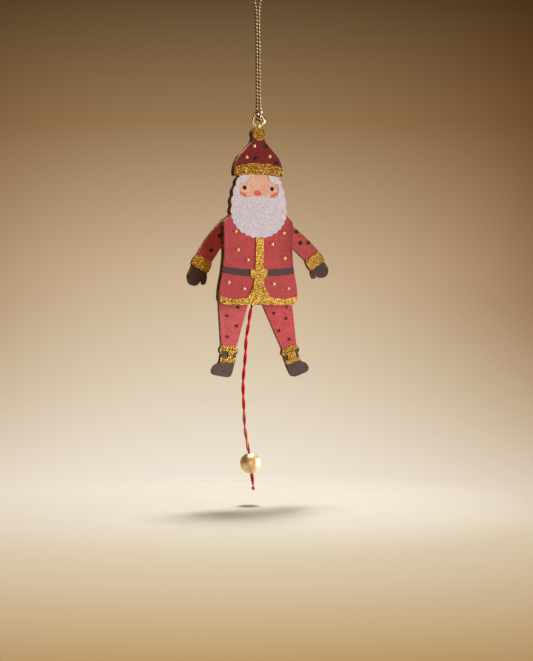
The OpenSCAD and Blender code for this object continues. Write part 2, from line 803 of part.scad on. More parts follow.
module leg_boot_trim(side, trouser_l, rest, patches) {
    color(gold_colour) at_hip(side) layer(limb_front, glitter_t) {
        rotate(rest) on_boot_trim_2d(trouser_l, patches) boot_2d(trouser_l);
        rotate(rest) on_boot_trim_2d(trouser_l, patches) boot_band_2d(trouser_l);
    }
}

module leg_dots(side, trouser_l, rest, shares) {
    color(dark_colour) at_hip(side) layer(limb_front, dot_t) rotate(rest)
        dots([for (s = shares) [s[0] * thigh_w - leg_off, -s[1] * trouser_l]], leg_dot_d);
}

// Knot with rounded edges, its axis along Z and its middle at the origin
module knot(d, h) {
    edge = min(d, h) * knot_edge_share;
    rotate_extrude() {
        translate([0, -h / 2]) square([d / 2 - edge, h]);
        translate([0, -h / 2 + edge]) square([d / 2, h - 2 * edge]);
        for (z = [edge - h / 2, h / 2 - edge])
            translate([d / 2 - edge, z]) circle(r = edge);
    }
}

// Half of a tie string in plan, from a stopper to the middle: across, back
function tie_half(x) =
    let (start = body_back + limb_gap / 2 + stopper_t / 2, turn = string_y - tie_bend)
    concat(
        [[x, start]],
        [for (a = [0 : 30 : 90]) [x - tie_bend * (1 - cos(a)), turn + tie_bend * sin(a)]],
        [[0, string_y]]
    );

// Tie string through the holes of two levers
module tie_string(x, z) {
    half = tie_half(x);
    path = concat(
        [for (p = half) [p[0], p[1], z]],
        [for (i = [len(half) - 2 : -1 : 0]) [-half[i][0], half[i][1], z]]
    );
    color(red_string_colour) cord(path, tie_d, [0, 0, 1]);
}

module tie_knot(z) {
    color(red_string_colour) translate([0, string_y, z]) difference() {
        knot(knot_d, knot_h);
        rotate([0, 90, 0]) translate([0, 0, -knot_d]) cylinder(d = tie_d + 2 * pin_fit, h = 2 * knot_d);
    }
}

module tie_stoppers(x, z) {
    color(red_string_colour)
        for (side = [left_side, right_side])
            translate([side * x, body_back + limb_gap / 2, z]) rotate([90, 0, 0]) knot(stopper_d, stopper_t);
}

module arm_strand() {
    bottom = leg_tie_z + knot_h / 2;
    color(red_string_colour)
        translate([0, string_y, bottom]) cylinder(d = strand_d, h = arm_tie_z - knot_h / 2 - bottom);
}

module pull_cord() {
    color(red_string_colour) translate(leg_knot_at)
        cord(curve(pull_route, pull_steps), pull_cord_d, [0, 1, 0]);
}

// Piece threaded on the pull cord at one point of its route, its axis along the cord
module on_pull_cord(i) {
    along = -heading(pull_route, i);
    translate(leg_knot_at + pull_route[i]) rotate([0, atan2(along[0], along[2]), 0]) children();
}

module bead() {
    color(gold_colour) on_pull_cord(bead_stop) rotate_extrude() intersection() {
        circle(d = bead_d);
        translate([bead_bore_d / 2, bead_flat - bead_d / 2]) square([bead_d, bead_d - 2 * bead_flat]);
    }
}

module end_knot() {
    color(red_string_colour) on_pull_cord(len(pull_route) - 1)
        translate([0, 0, -end_knot_l / 2]) knot(end_knot_d, end_knot_l);
}

body_board();
body_face_sheet();
hat_band();
pompom();
beard();
coat_trim();
coat_dots();
hat_gold_dots();
hat_dark_dots();
at_shoulder(left_side) pivot_pin();  // left_shoulder_pin
at_shoulder(right_side) pivot_pin();  // right_shoulder_pin
at_hip(left_side) pivot_pin();  // left_hip_pin
at_hip(right_side) pivot_pin();  // right_hip_pin
at_shoulder(left_side) pivot_washer();  // left_shoulder_washer
at_shoulder(right_side) pivot_washer();  // right_shoulder_washer
at_hip(left_side) pivot_washer();  // left_hip_washer
at_hip(right_side) pivot_washer();  // right_hip_washer
screw_eye();
hang_hitch();
hang_cord();
arm_board(left_side, left_sleeve_l, left_mitten_l, left_cuff_lean, left_arm_rest);  // left_arm_board
arm_face_sheet(left_side, left_sleeve_l, left_mitten_l, left_cuff_lean, left_arm_rest);  // left_arm_face_sheet
arm_cuff(left_side, left_sleeve_l, left_cuff_lean, left_arm_rest);  // left_arm_cuff
arm_dots(left_side, left_sleeve_l, left_arm_rest, left_arm_dot_shares);  // left_arm_dots
arm_board(right_side, right_sleeve_l, right_mitten_l, right_cuff_lean, right_arm_rest);  // right_arm_board
arm_face_sheet(right_side, right_sleeve_l, right_mitten_l, right_cuff_lean, right_arm_rest);  // right_arm_face_sheet
arm_cuff(right_side, right_sleeve_l, right_cuff_lean, right_arm_rest);  // right_arm_cuff
arm_dots(right_side, right_sleeve_l, right_arm_rest, right_arm_dot_shares);  // right_arm_dots
leg_board(left_side, left_trouser_l, left_leg_rest);  // left_leg_board
leg_face_sheet(left_side, left_trouser_l, left_leg_rest);  // left_leg_face_sheet
leg_boot_trim(left_side, left_trouser_l, left_leg_rest, left_patch_shares);  // left_boot_trim
leg_dots(left_side, left_trouser_l, left_leg_rest, left_leg_dot_shares);  // left_leg_dots
leg_board(right_side, right_trouser_l, right_leg_rest);  // right_leg_board
leg_face_sheet(right_side, right_trouser_l, right_leg_rest);  // right_leg_face_sheet
leg_boot_trim(right_side, right_trouser_l, right_leg_rest, right_patch_shares);  // right_boot_trim
leg_dots(right_side, right_trouser_l, right_leg_rest, right_leg_dot_shares);  // right_leg_dots
tie_string(arm_tie_x, arm_tie_z);  // arm_tie_string
tie_knot(arm_tie_z);  // arm_tie_knot
tie_stoppers(arm_tie_x, arm_tie_z);  // arm_tie_stoppers
arm_strand();
tie_string(leg_tie_x, leg_tie_z);  // leg_tie_string
tie_knot(leg_tie_z);  // leg_tie_knot
tie_stoppers(leg_tie_x, leg_tie_z);  // leg_tie_stoppers
pull_cord();
bead();
end_knot();
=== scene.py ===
import json
import math

import bpy
from mathutils import Matrix, Vector


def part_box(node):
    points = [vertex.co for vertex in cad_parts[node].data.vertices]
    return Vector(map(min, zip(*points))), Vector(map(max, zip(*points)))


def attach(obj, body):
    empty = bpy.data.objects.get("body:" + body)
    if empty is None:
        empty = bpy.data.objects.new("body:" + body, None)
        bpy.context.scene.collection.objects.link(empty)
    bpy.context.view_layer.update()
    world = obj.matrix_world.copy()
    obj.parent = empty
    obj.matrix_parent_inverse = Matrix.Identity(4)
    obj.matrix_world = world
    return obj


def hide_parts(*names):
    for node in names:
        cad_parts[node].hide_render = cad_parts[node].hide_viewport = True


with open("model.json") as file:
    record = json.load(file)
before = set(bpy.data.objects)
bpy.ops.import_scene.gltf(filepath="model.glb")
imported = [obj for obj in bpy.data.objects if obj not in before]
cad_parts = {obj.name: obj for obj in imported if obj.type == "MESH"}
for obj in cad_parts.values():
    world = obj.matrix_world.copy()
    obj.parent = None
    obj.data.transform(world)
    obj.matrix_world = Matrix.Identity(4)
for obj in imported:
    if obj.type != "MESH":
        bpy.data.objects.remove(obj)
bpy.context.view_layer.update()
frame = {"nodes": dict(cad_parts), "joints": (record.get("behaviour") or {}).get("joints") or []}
nodes = frame["nodes"]
joints = {j["name"]: Vector(j.get("pos_m", (0, 0, 0))) for j in frame["joints"]}
scene = bpy.context.scene
scene.view_settings.view_transform = "Standard"


def linear(code):
    """Linear colour of a web colour (sRGB)."""
    parts = [int(code[i:i + 2], 16) / 255 for i in (1, 3, 5)]
    return tuple(c / 12.92 if c <= 0.04045 else ((c + 0.055) / 1.055) ** 2.4 for c in parts) + (1,)


# Lengths are in metres
MM = 0.001

# Photograph: its size in pixels, the column of the figure's middle, and the height of its centre
PHOTO_W = 533
PHOTO_H = 661
MIDDLE_PX = 257
CENTRE_Z = -0.2103

# Camera: degrees from the figure's front towards the viewer's right, degrees up, distance,
# lens and sensor in millimetres
AZIMUTH = -25
ELEVATION = 1
DISTANCE = 0.94
LENS = 85
SENSOR = 36
CLIP_START = 0.05

# Lights round the figure's middle: degrees as for the camera, distance, diameter, power, colour
FIGURE_MIDDLE = Vector((0, 0, -0.17))
LIGHTS = {
    "key": (74, -3, 1.1, 0.75, 29, "#fafaff"),
    "fill": (-15, 10, 1.2, 0.9, 4.4, "#ffdeb4"),
    "top": (143, 75, 1, 0.3, 17, "#fffaf4"),
    "back": (160, -8, 1.2, 0.5, 7, "#fff4e6"),
}
# Light that the studio gives from all round
WORLD_LIGHT = linear("#5a4630")

# Floor: height just below the end of the pull cord, radius, corners,
# distances from the middle where it starts to fade and has faded
FLOOR_Z = -0.3165
FLOOR_R = 0.19
FLOOR_CORNERS = 64
FLOOR_FADES = 0.06
FLOOR_FADED = 0.18

# Backdrop: sines of the view's slope at its low and high end, colours between them
BACKDROP_LOW = -0.4
BACKDROP_HIGH = 0.2
BACKDROP = [
    (0.0, "#d8c29c"), (0.29, "#bd9b68"), (0.405, "#e1d0b4"), (0.47, "#f2e8d8"), (0.575, "#e0d1b8"),
    (0.703, "#ccb393"), (0.858, "#957753"), (1.0, "#55412a"),
]
# Glow of the backdrop: sine of its middle's place across the view, sines of a low and a high slope,
# and at both of them its fall to the sides and its least strength
GLOW_MIDDLE = -0.03
GLOW_LOW = -0.14
GLOW_HIGH = 0.0
GLOW_FALL_LOW = 3
GLOW_FALL_HIGH = 12
GLOW_LEAST_LOW = 0.87
GLOW_LEAST_HIGH = 0.52
# Powers of the glow in red, green and blue
GLOW_TINT = (1, 1.4, 1.8)

# Routes of the cords in millimetres, as in the part's source
HANG_ROUTE = [
    (0, 0.5, -79.5), (0, 0.2, -75), (-0.1, 0, -70), (-0.2, 0, -60), (-0.3, 0, -50),
    (-0.4, 0, -40), (-0.5, 0, -30), (-0.6, 0, -20), (-1.5, 0, -14), (-2.8, 0, -9),
    (-3.6, 0, -5), (-3.2, 0, -1.5), (-1.8, 0, 0.3), (0, 0, 0.8), (1.8, 0, 0.3),
    (3.2, 0, -1.5), (3.6, 0, -5), (2.8, 0, -9), (1.6, 0, -14), (1.1, 0, -20),
    (1.2, 0, -30), (1.3, 0, -40), (1.4, 0, -50), (1.5, 0, -60), (1.6, 0, -70),
    (1.8, -0.2, -75), (2.2, -0.5, -79.5),
]
# The pull cord's route starts at the knot of the leg tie
PULL_ROUTE = [
    (0, 0, -1.6), (0.5, 0, -8), (0.5, 0, -16), (-1, 0, -22), (-2, 0, -29), (-3.5, 0, -37),
    (-4, 0, -46), (-4.5, 0, -52), (-5.5, 0, -62), (-5.5, 0, -71), (-5, 0, -80),
    (-4.5, 0, -90), (-3, 0, -100), (-1.5, 0, -107), (-0.75, 0, -113), (0, 0, -119),
    (0.5, 0, -122.5), (1, 0, -126.5),
]
# Steps of a smooth line between two points of a route
ROUTE_STEPS = 8

# Hanging cord: two plies of unlike tone
HANG_CORD_D = 1.6 * MM
HANG_PLY = 0.76 * MM
HANG_PITCH = -2.1 * MM
HANG_TONES = (1, 0.64)
HANG_STEP = 0.3 * MM
HANG_SIDES = 8
# Screw eye: middle of its ring, radius of the ring's middle line, turn about its shank in degrees
EYE_CENTRE = Vector((1.1, 0, -84.02)) * MM
EYE_R = 3.2 * MM
EYE_TURN = -25
EYE_TOP = 90
# Hitch of the hanging cord on the eye, from the top of the ring: degrees round the ring,
# degrees round the wire from its outside to its back, distance from the wire's middle in closest lays
WRAP_R = 1.72 * MM
HITCH_STEP = 0.25 * MM
HITCH_TURN = [
    (13.5, 75, 1), (18, 120, 1.2), (60, 160, 1.4), (120, 180, 1.25),
    (60, 205, 1.4), (18, 250, 1.2), (13.5, 300, 1), (13.5, 345, 1),
]
HITCH_BIGHT = [(24.5, 30, 1.5), (0, 48, 2.1), (-24.5, 30, 1.5)]

# Pull cord: two strands that twist loosely round each other, each spun from two plies of one tone
PULL_CORD_D = 2.2 * MM
PULL_PITCH = 18 * MM
PULL_STEP = 0.5 * MM
STRAND_D = 1.25 * MM
STRAND_PLY = 0.82 * MM
STRAND_PITCH = 2.6 * MM
RED_TONES = (1, 1)
RED_STEP = 0.3 * MM
RED_SIDES = 6
# Painted light: heights on the pull cord where its red turns pale pink, is fully pale, and is red again in
# the bead
PULL_PALE_FROM_Z = -0.25
PULL_PALE_FULL_Z = -0.272
BEAD_Z = -0.29
# Strings of ties and knots: ply and turn in strings, radius of a tie's bend in strings,
# degrees between the points of the bend
TIE_D = 1 * MM
PLY_SHARE = 0.56
PITCH_SHARE = 2.6
TIE_BEND = 2
TIE_BEND_STEP = 15
# Knots are trefoils, whose curve reaches three units out
TREFOIL_REACH = 3
TREFOIL_STEPS = 72
# The end knot is pulled tight
END_STRAND_D = 1 * MM
END_KNOT_SHARE = 0.72

# Prints on the body's face sheet in the front view: middle across, middle up, half width, half height,
# turn in degrees
EYES = [(-0.0094, -0.1249, 0.0013, 0.0013), (0.0087, -0.1251, 0.0013, 0.0013)]
NOSE = (-0.0008, -0.1281, 0.0026, 0.0018)
CHEEKS = [(-0.0105, -0.1287, 0.0027, 0.001, -28), (0.0099, -0.1287, 0.0027, 0.001, 33)]
HAT_FROM_Z = -0.1165
COAT_FROM_Z = -0.1412
# Belt: its middle's height, half its width, rise to the sides as a share of the squared distance
BELT_Z = -0.1757
BELT_HALF_H = 0.0021
BELT_RISE = 3.2
# Painted shade on the coat's upper right side, darker towards its edge: across to its edge, heights
# where it has faded out and where it is full, and its tones from the middle to the edge
SIDE_X = 0.0226
SIDE_FADE_Z = (-0.176, -0.164)
SIDE_SHADE = [(0.55, (1, 1, 1)), (0.9, (0.74, 0.64, 0.64)), (1, (0.5, 0.36, 0.36))]
# Distance of the boots' top from the hip pins
BOOT_FROM_HIP = {"left": 0.0405, "right": 0.0425}

# Colours of the prints
RED = linear("#bd494d")
HAT_DARK = linear("#5c0404")
HAT_BRIGHT = linear("#880b0b")
SKIN = linear("#e7b79d")
CHEEK = linear("#dc7868")
NOSE_RED = linear("#e0695c")
EYE_BLACK = linear("#1d1613")
BELT = linear("#543c3b")
MITTEN = linear("#44322a")
# The limbs' prints differ a little in tone from side to side
SLEEVE = {"left": RED, "right": linear("#b04445")}
TROUSERS = {"left": linear("#ce5f63"), "right": linear("#c85157")}
BOOT = {"left": linear("#60504c"), "right": linear("#534240")}

# Board edges are pale in front of a depth, on the legs only above the boots
BODY_PALE_TO_Y = -0.0014
LEG_PALE_TO_Y = 0.0056
LEG_PALE_TO_Z = -0.22

# Glitters: size of a flake, and how far it leans
GOLD_FLAKES = {"size": 0.3 * MM, "lean": 0.22, "metallic": 0.95, "roughness": 0.32}
WHITE_FLAKES = {"size": 0.4 * MM, "lean": 0.12, "metallic": 0.0, "roughness": 0.6}
DARK_FLAKES = {"size": 0.5 * MM, "lean": 0.3, "metallic": 0.0, "roughness": 0.55, "specular": 0.1}

# Dots: rounded drops of paint on the places of the flat dots
DROP_H = 0.4 * MM
DARK_DROP_H = 0.25 * MM
DROP_SIDES = 20
DROP_RINGS = 6
# Points of one dot are nearer to each other than this, and those of two dots are further apart
DOTS_APART = 3.5 * MM
# The left arm's drops stay out of the coat's cover
CLEAR_OF_COAT_X = -0.0228

# Beard: a share of its solid's thickness, so that its brows throw little shadow on the face
BEARD_RELIEF = 0.4

# Rounding of edges that turn by more than an angle in degrees
LAYER_ROUNDING = 0.12 * MM
SHEET_ROUNDING = 0.25 * MM
BEARD_ROUNDING = 0.1 * MM
ROUNDING_STEPS = 2
ROUNDING_FROM = 50


class Nodes:
    """A node tree, with short ways to add nodes to it."""

    # Colour sockets of the Mix node
    MIX_A = 6
    MIX_B = 7
    MIX_RESULT = 2

    def __init__(self, tree):
        self.tree = tree

    def put(self, socket, value):
        """Links a socket to another, or sets its value."""
        if isinstance(value, bpy.types.NodeSocket):
            self.tree.links.new(value, socket)
        else:
            socket.default_value = value

    def node(self, kind, values=(), **settings):
        made = self.tree.nodes.new("ShaderNode" + kind)
        for name, value in settings.items():
            setattr(made, name, value)
        for name, value in dict(values).items():
            self.put(made.inputs[name], value)
        return made

    def math(self, operation, a, b=0.0):
        return self.node("Math", {0: a, 1: b}, operation=operation).outputs[0]

    def square(self, value):
        return self.math("POWER", value, 2.0)

    def vector_math(self, operation, *operands):
        return self.node("VectorMath", dict(enumerate(operands)), operation=operation).outputs

    def axes(self, vector):
        return self.node("SeparateXYZ", {0: vector}).outputs

    def share(self, value, start, end):
        """A number that goes from 0 to 1 as the value goes from start to end."""
        return self.node("MapRange", {"Value": value, "From Min": start, "From Max": end}).outputs[0]

    def level(self, factor, low, high):
        """A number that goes from low to high as the factor goes from 0 to 1."""
        return self.node("MapRange", {"Value": factor, "To Min": low, "To Max": high}).outputs[0]

    def ramp(self, factor, *stops):
        """A colour that goes through stops, each a place and its colour."""
        made = self.node("ValToRGB", {"Fac": factor})
        elements = made.color_ramp.elements
        while len(elements) < len(stops):
            elements.new(1)
        for element, (position, colour) in zip(elements, stops):
            element.position = position
            element.color = colour if len(colour) == 4 else (*colour, 1)
        return made.outputs["Color"]

    def mix(self, factor, a, b, blend="MIX"):
        made = self.node("Mix", data_type="RGBA", blend_type=blend)
        self.put(made.inputs["Factor"], factor)
        self.put(made.inputs[self.MIX_A], a)
        self.put(made.inputs[self.MIX_B], b)
        return made.outputs[self.MIX_RESULT]

    def times(self, a, b):
        return self.mix(1.0, a, b, "MULTIPLY")


class Shader(Nodes):
    """A material with a Principled shader."""

    # Least part of a front or back face's normal along Y
    FLAT_FROM = 0.9

    def __init__(self, name, roughness=0.6, metallic=0.0, specular=0.25):
        self.material = bpy.data.materials.new(name)
        self.material.use_nodes = True
        super().__init__(self.material.node_tree)
        self.surface = self.tree.nodes["Principled BSDF"]
        self.set("Roughness", roughness)
        self.set("Metallic", metallic)
        self.set("Specular IOR Level", specular)
        coordinates = self.node("TexCoord").outputs
        self.place = coordinates["Object"]
        self.normal = coordinates["Normal"]

    def set(self, name, value):
        self.put(self.surface.inputs[name], value)

    def stretched(self, scale):
        return self.node("Mapping", {0: self.place, "Scale": scale}).outputs[0]

    def noise(self, scale, detail=2.0, vector=None):
        values = {"Vector": vector or self.place, "Scale": scale, "Detail": detail}
        return self.node("TexNoise", values).outputs["Fac"]

    def bump(self, height, distance, strength, normal=None):
        values = {"Height": height, "Distance": distance, "Strength": strength}
        if normal:
            values["Normal"] = normal
        self.set("Normal", self.node("Bump", values).outputs[0])

    def inside(self, across, up, half_w, half_h, turn=0.0):
        """1 inside an ellipse in the front view, turned by degrees."""
        x, _, z = self.axes(self.place)
        dx = self.math("SUBTRACT", x, across)
        dz = self.math("SUBTRACT", z, up)
        c = math.cos(math.radians(turn))
        s = math.sin(math.radians(turn))
        along = self.math("ADD", self.math("MULTIPLY", dx, c / half_w),
                          self.math("MULTIPLY", dz, s / half_w))
        over = self.math("SUBTRACT", self.math("MULTIPLY", dz, c / half_h),
                         self.math("MULTIPLY", dx, s / half_h))
        return self.math("LESS_THAN", self.math("ADD", self.square(along), self.square(over)), 1.0)

    def flat(self):
        """1 on front and back faces, 0 on edges."""
        facing = self.math("ABSOLUTE", self.axes(self.normal)[1])
        return self.math("GREATER_THAN", facing, self.FLAT_FROM)


# Materials

def paper(shader, print_colour):
    """Printed paper: soft mottling and fibre on the face, pale on the cut edge."""
    mottle = shader.ramp(shader.noise(scale=260, detail=3),
                         (0.35, (0.88, 0.86, 0.86)), (0.65, (1.0, 1.0, 1.0)))
    grain = shader.ramp(shader.noise(scale=1000, detail=3),
                        (0.35, (0.8, 0.78, 0.78)), (0.65, (1.12, 1.1, 1.1)))
    printed = shader.times(shader.times(print_colour, mottle), grain)
    edge = shader.ramp(shader.noise(scale=1200), (0.4, linear("#8a6446")), (0.62, linear("#d9b89c")))
    fibre = shader.noise(scale=2600)
    shader.set("Base Color", shader.mix(shader.flat(), edge, printed))
    shader.set("Roughness", shader.level(fibre, 0.62, 0.8))
    shader.bump(fibre, distance=0.04 * MM, strength=0.5)


def body_print():
    """Face, hat, and coat with its belt, and painted shade on the coat's upper right side."""
    shader = Shader("body_print")
    x, _, z = shader.axes(shader.place)
    colour = shader.mix(shader.math("GREATER_THAN", z, COAT_FROM_Z), RED, SKIN)
    for tone, places in ((CHEEK, CHEEKS), (NOSE_RED, [NOSE]), (EYE_BLACK, EYES)):
        for place in places:
            colour = shader.mix(shader.inside(*place), colour, tone)
    hat = shader.ramp(shader.noise(scale=1400, detail=3), (0.38, HAT_DARK), (0.62, HAT_BRIGHT))
    colour = shader.mix(shader.math("GREATER_THAN", z, HAT_FROM_Z), colour, hat)
    # Painted shade: the coat darkens towards its upper right edge
    side = shader.ramp(shader.math("DIVIDE", x, SIDE_X), *SIDE_SHADE)
    below_head = shader.math("LESS_THAN", z, COAT_FROM_Z)
    on_coat = shader.math("MULTIPLY", shader.share(z, *SIDE_FADE_Z), below_head)
    colour = shader.mix(on_coat, colour, side, "MULTIPLY")
    belt_line = shader.math("ADD", shader.math("MULTIPLY", shader.square(x), BELT_RISE), BELT_Z)
    off_belt = shader.math("ABSOLUTE", shader.math("SUBTRACT", z, belt_line))
    colour = shader.mix(shader.math("LESS_THAN", off_belt, BELT_HALF_H), colour, BELT)
    paper(shader, colour)
    return shader.material


def limb_print(name, pin, colour, change_at, end_colour):
    """Red cloth down to a distance from the pin, and a mitten or boot beyond it."""
    shader = Shader(name)
    x, _, z = shader.axes(shader.vector_math("SUBTRACT", shader.place, pin)[0])
    squared = shader.math("ADD", shader.square(x), shader.square(z))
    beyond = shader.math("GREATER_THAN", squared, change_at ** 2)
    paper(shader, shader.mix(beyond, colour, end_colour))
    return shader.material


def wood(name, pale_to=None, pale_above=None):
    """Board with a grained back and browned edges, which are pale in front of a depth and above a height."""
    shader = Shader(name, roughness=0.8, specular=0.1)
    grain = shader.noise(scale=420, detail=6, vector=shader.stretched((1, 1, 0.06)))
    face = shader.ramp(grain, (0.32, linear("#b88a5c")), (0.55, linear("#d8b083")), (0.75, linear("#e2c096")))
    streaks = shader.noise(scale=520, detail=4, vector=shader.stretched((1, 0.15, 1)))
    edge = shader.ramp(streaks, (0.34, linear("#4a2f1a")), (0.52, linear("#82583a")),
                       (0.72, linear("#bc885e")))
    _, y, z = shader.axes(shader.place)
    if pale_to is not None:
        pale = shader.math("LESS_THAN", y, pale_to)
        if pale_above is not None:
            pale = shader.math("MULTIPLY", pale, shader.math("GREATER_THAN", z, pale_above))
        unburnt = shader.ramp(streaks, (0.3, linear("#a47254")), (0.7, linear("#dcb090")))
        edge = shader.mix(pale, edge, unburnt)
    shader.set("Base Color", shader.mix(shader.flat(), edge, face))
    shader.bump(grain, distance=0.08 * MM, strength=0.4)
    return shader.material


def glitter(name, dark, middle, bright, size, lean, metallic, roughness, specular=0.25):
    """Loose flakes: each cell has its own tone and its own tilt."""
    shader = Shader(name, roughness, metallic, specular)
    flakes = shader.node("TexVoronoi", {"Vector": shader.place, "Scale": 1 / size}).outputs
    tone = shader.axes(flakes["Color"])[0]
    shader.set("Base Color", shader.ramp(tone, (0.12, linear(dark)), (0.5, linear(middle)),
                                         (0.86, linear(bright))))
    tilt = shader.vector_math("SUBTRACT", flakes["Color"], (0.5, 0.5, 0.5))[0]
    tilt = shader.vector_math("MULTIPLY", tilt, (lean, lean, lean))[0]
    face = shader.node("NewGeometry").outputs["Normal"]
    leaned = shader.vector_math("NORMALIZE", shader.vector_math("ADD", face, tilt)[0])[0]
    shader.bump(flakes["Distance"], distance=0.12 * MM, strength=0.6, normal=leaned)
    return shader.material


def brass(name, colour, roughness):
    """Brass with paler worn places."""
    shader = Shader(name, roughness, metallic=1.0)
    worn = shader.noise(scale=900, detail=4)
    shader.set("Base Color", shader.mix(worn, linear(colour), linear("#fff0d2")))
    shader.set("Roughness", shader.level(worn, 0.8 * roughness, 1.5 * roughness))
    shader.bump(shader.noise(scale=3000), distance=0.01 * MM, strength=0.4)
    return shader.material


def gold_paint(name, dark, bright, metallic, roughness):
    """Satin gold paint with a faint cloudiness."""
    shader = Shader(name, roughness, metallic, specular=0.5)
    cloud = shader.noise(scale=350, detail=4)
    shader.set("Base Color", shader.ramp(cloud, (0.3, linear(dark)), (0.7, linear(bright))))
    shader.set("Roughness", shader.level(cloud, 0.9 * roughness, 1.15 * roughness))
    shader.bump(shader.noise(scale=1500, detail=3), distance=0.03 * MM, strength=0.35)
    return shader.material


def thread(name, dark, bright, groove_shade, ridge, metallic, roughness, painted_pale=None):
    """Spun yarn: fine fibres on each ply, and painted shade in the grooves between the plies. Painted light
    can turn the yarn to a pale colour from one height down to a second, and keep it down to a third."""
    shader = Shader(name, roughness, metallic)
    fibre = shader.noise(scale=4200, detail=3)
    lit = shader.ramp(fibre, (0.3, linear(dark)), (0.7, linear(bright)))
    # Painted light: the red turns a pale pink on the cord above the bead
    if painted_pale:
        colour, from_z, full_z, end_z = painted_pale
        z = shader.axes(shader.place)[2]
        above_end = shader.math("GREATER_THAN", z, end_z)
        pale_share = shader.math("MULTIPLY", shader.share(z, from_z, full_z), above_end)
        lit = shader.mix(pale_share, lit, linear(colour))
    # Painted shade in the grooves: darker where a corner lies close to the line its ply winds round
    outward = shader.node("Attribute", attribute_name="outward").outputs["Fac"]
    shade = shader.ramp(outward, (ridge, (groove_shade, groove_shade, groove_shade)), (1, (1, 1, 1)))
    shader.set("Base Color", shader.times(lit, shade))
    shader.bump(fibre, distance=0.08 * MM, strength=0.6)
    return shader.material


# Lines and meshes

def smooth(points, steps):
    """Curve through the points, with a number of steps between two of them."""
    made = []
    last = len(points) - 1
    for i in range(last):
        a = points[max(i - 1, 0)]
        b = points[i]
        c = points[i + 1]
        d = points[min(i + 2, last)]
        for k in range(steps):
            t = k / steps
            made.append((2 * b + (c - a) * t + (2 * a - 5 * b + 4 * c - d) * t ** 2
                         + (3 * b - a - 3 * c + d) * t ** 3) / 2)
    made.append(points[last])
    return made


def even(points, step):
    """The same line with its points a step apart."""
    made = [points[0]]
    rest = step
    for a, b in zip(points, points[1:]):
        run = (b - a).length
        at = rest
        while at < run:
            made.append(a.lerp(b, at / run))
            at += step
        rest = at - run
    made.append(points[-1])
    return made


def frames_along(points):
    """Two crossing directions square to a line at each of its points, turning with it."""
    last = len(points) - 1
    across = None
    made = []
    for i in range(len(points)):
        ahead = (points[min(i + 1, last)] - points[max(i - 1, 0)]).normalized()
        if across is None:
            across = ahead.orthogonal().normalized()
        across = (across - ahead * across.dot(ahead)).normalized()
        made.append((across, ahead.cross(across)))
    return made


def plies(points, tones, radius, pitch):
    """Lines that wind round a line, a pitch for each turn, each with the line it winds round and its tone."""
    made = [[] for _ in tones]
    run = 0.0
    before = points[0]
    for point, (across, over) in zip(points, frames_along(points)):
        run += (point - before).length
        before = point
        for k, line in enumerate(made):
            angle = 2 * math.pi * (run / pitch + k / len(tones))
            line.append(point + radius * (math.cos(angle) * across + math.sin(angle) * over))
    return [(line, points, tone) for line, tone in zip(made, tones)]


def add_mesh(name, corners, faces, material, is_smooth=True):
    mesh = bpy.data.meshes.new(name)
    mesh.from_pydata(corners, [], faces)
    if is_smooth:
        mesh.shade_smooth()
    mesh.materials.append(material)
    made = bpy.data.objects.new(name, mesh)
    scene.collection.objects.link(made)
    return made


def walls(first, last, sides):
    """Faces between rings of corners, from the ring that starts at first to the one that starts at last."""
    made = []
    for a in range(first, last, sides):
        for k in range(sides):
            n = (k + 1) % sides
            made.append((a + k, a + n, a + sides + n, a + sides + k))
    return made


def tubes(name, lines, diameter, sides, material):
    """One mesh of capped round tubes. Its corners know how far they are out from the line they wind round,
    as a share of the diameter times the tube's tone, from which the thread paints shade in the grooves."""
    corners = []
    outward = []
    faces = []
    for line, core, tone in lines:
        first = len(corners)
        for point, middle, (across, over) in zip(line, core, frames_along(line)):
            for k in range(sides):
                angle = 2 * math.pi * k / sides
                corner = point + diameter / 2 * (math.cos(angle) * across + math.sin(angle) * over)
                corners.append(corner)
                outward.append(tone * (corner - middle).length / diameter)
        last = len(corners) - sides
        faces += walls(first, last, sides)
        faces.append([first + k for k in reversed(range(sides))])
        faces.append([last + k for k in range(sides)])
    made = add_mesh(name, corners, faces, material)
    made.data.attributes.new("outward", "FLOAT", "POINT").data.foreach_set("value", outward)
    return made


def millimetres(route, start=Vector()):
    return [start + Vector(p) * MM for p in route]


def centre_of(name):
    low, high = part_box(name)
    return (low + high) / 2


def ending(*words):
    """Names of the CAD nodes that end in one of the words."""
    return [name for name in nodes if name.endswith(words)]


def stand_in(piece, body, slot, *solids):
    """Puts a piece in the place of a body's solids."""
    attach(piece, body)
    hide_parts(*solids)
    return piece


# Camera

def direction(azimuth, elevation):
    """Away from the figure: degrees from its front towards the viewer's right, and degrees up."""
    turn = math.radians(azimuth)
    tilt = math.radians(elevation)
    return Vector((math.sin(turn) * math.cos(tilt), -math.cos(turn) * math.cos(tilt), math.sin(tilt)))


def view_right():
    turn = math.radians(AZIMUTH)
    return Vector((math.cos(turn), math.sin(turn), 0))


def add_facing(name, data, target, away, distance):
    """Camera or light at a distance from a point, facing it."""
    made = bpy.data.objects.new(name, data)
    made.location = target + away * distance
    made.rotation_mode = "QUATERNION"
    made.rotation_quaternion = (-away).to_track_quat("-Z", "Y")
    scene.collection.objects.link(made)
    return made


def make_camera():
    pixel = DISTANCE * SENSOR / LENS / PHOTO_H
    target = Vector((0, 0, CENTRE_Z)) + view_right() * (PHOTO_W / 2 - MIDDLE_PX) * pixel
    data = bpy.data.cameras.new("camera")
    data.lens = LENS
    data.sensor_width = SENSOR
    data.clip_start = CLIP_START
    scene.camera = add_facing("camera", data, target, direction(AZIMUTH, ELEVATION), DISTANCE)


make_camera()

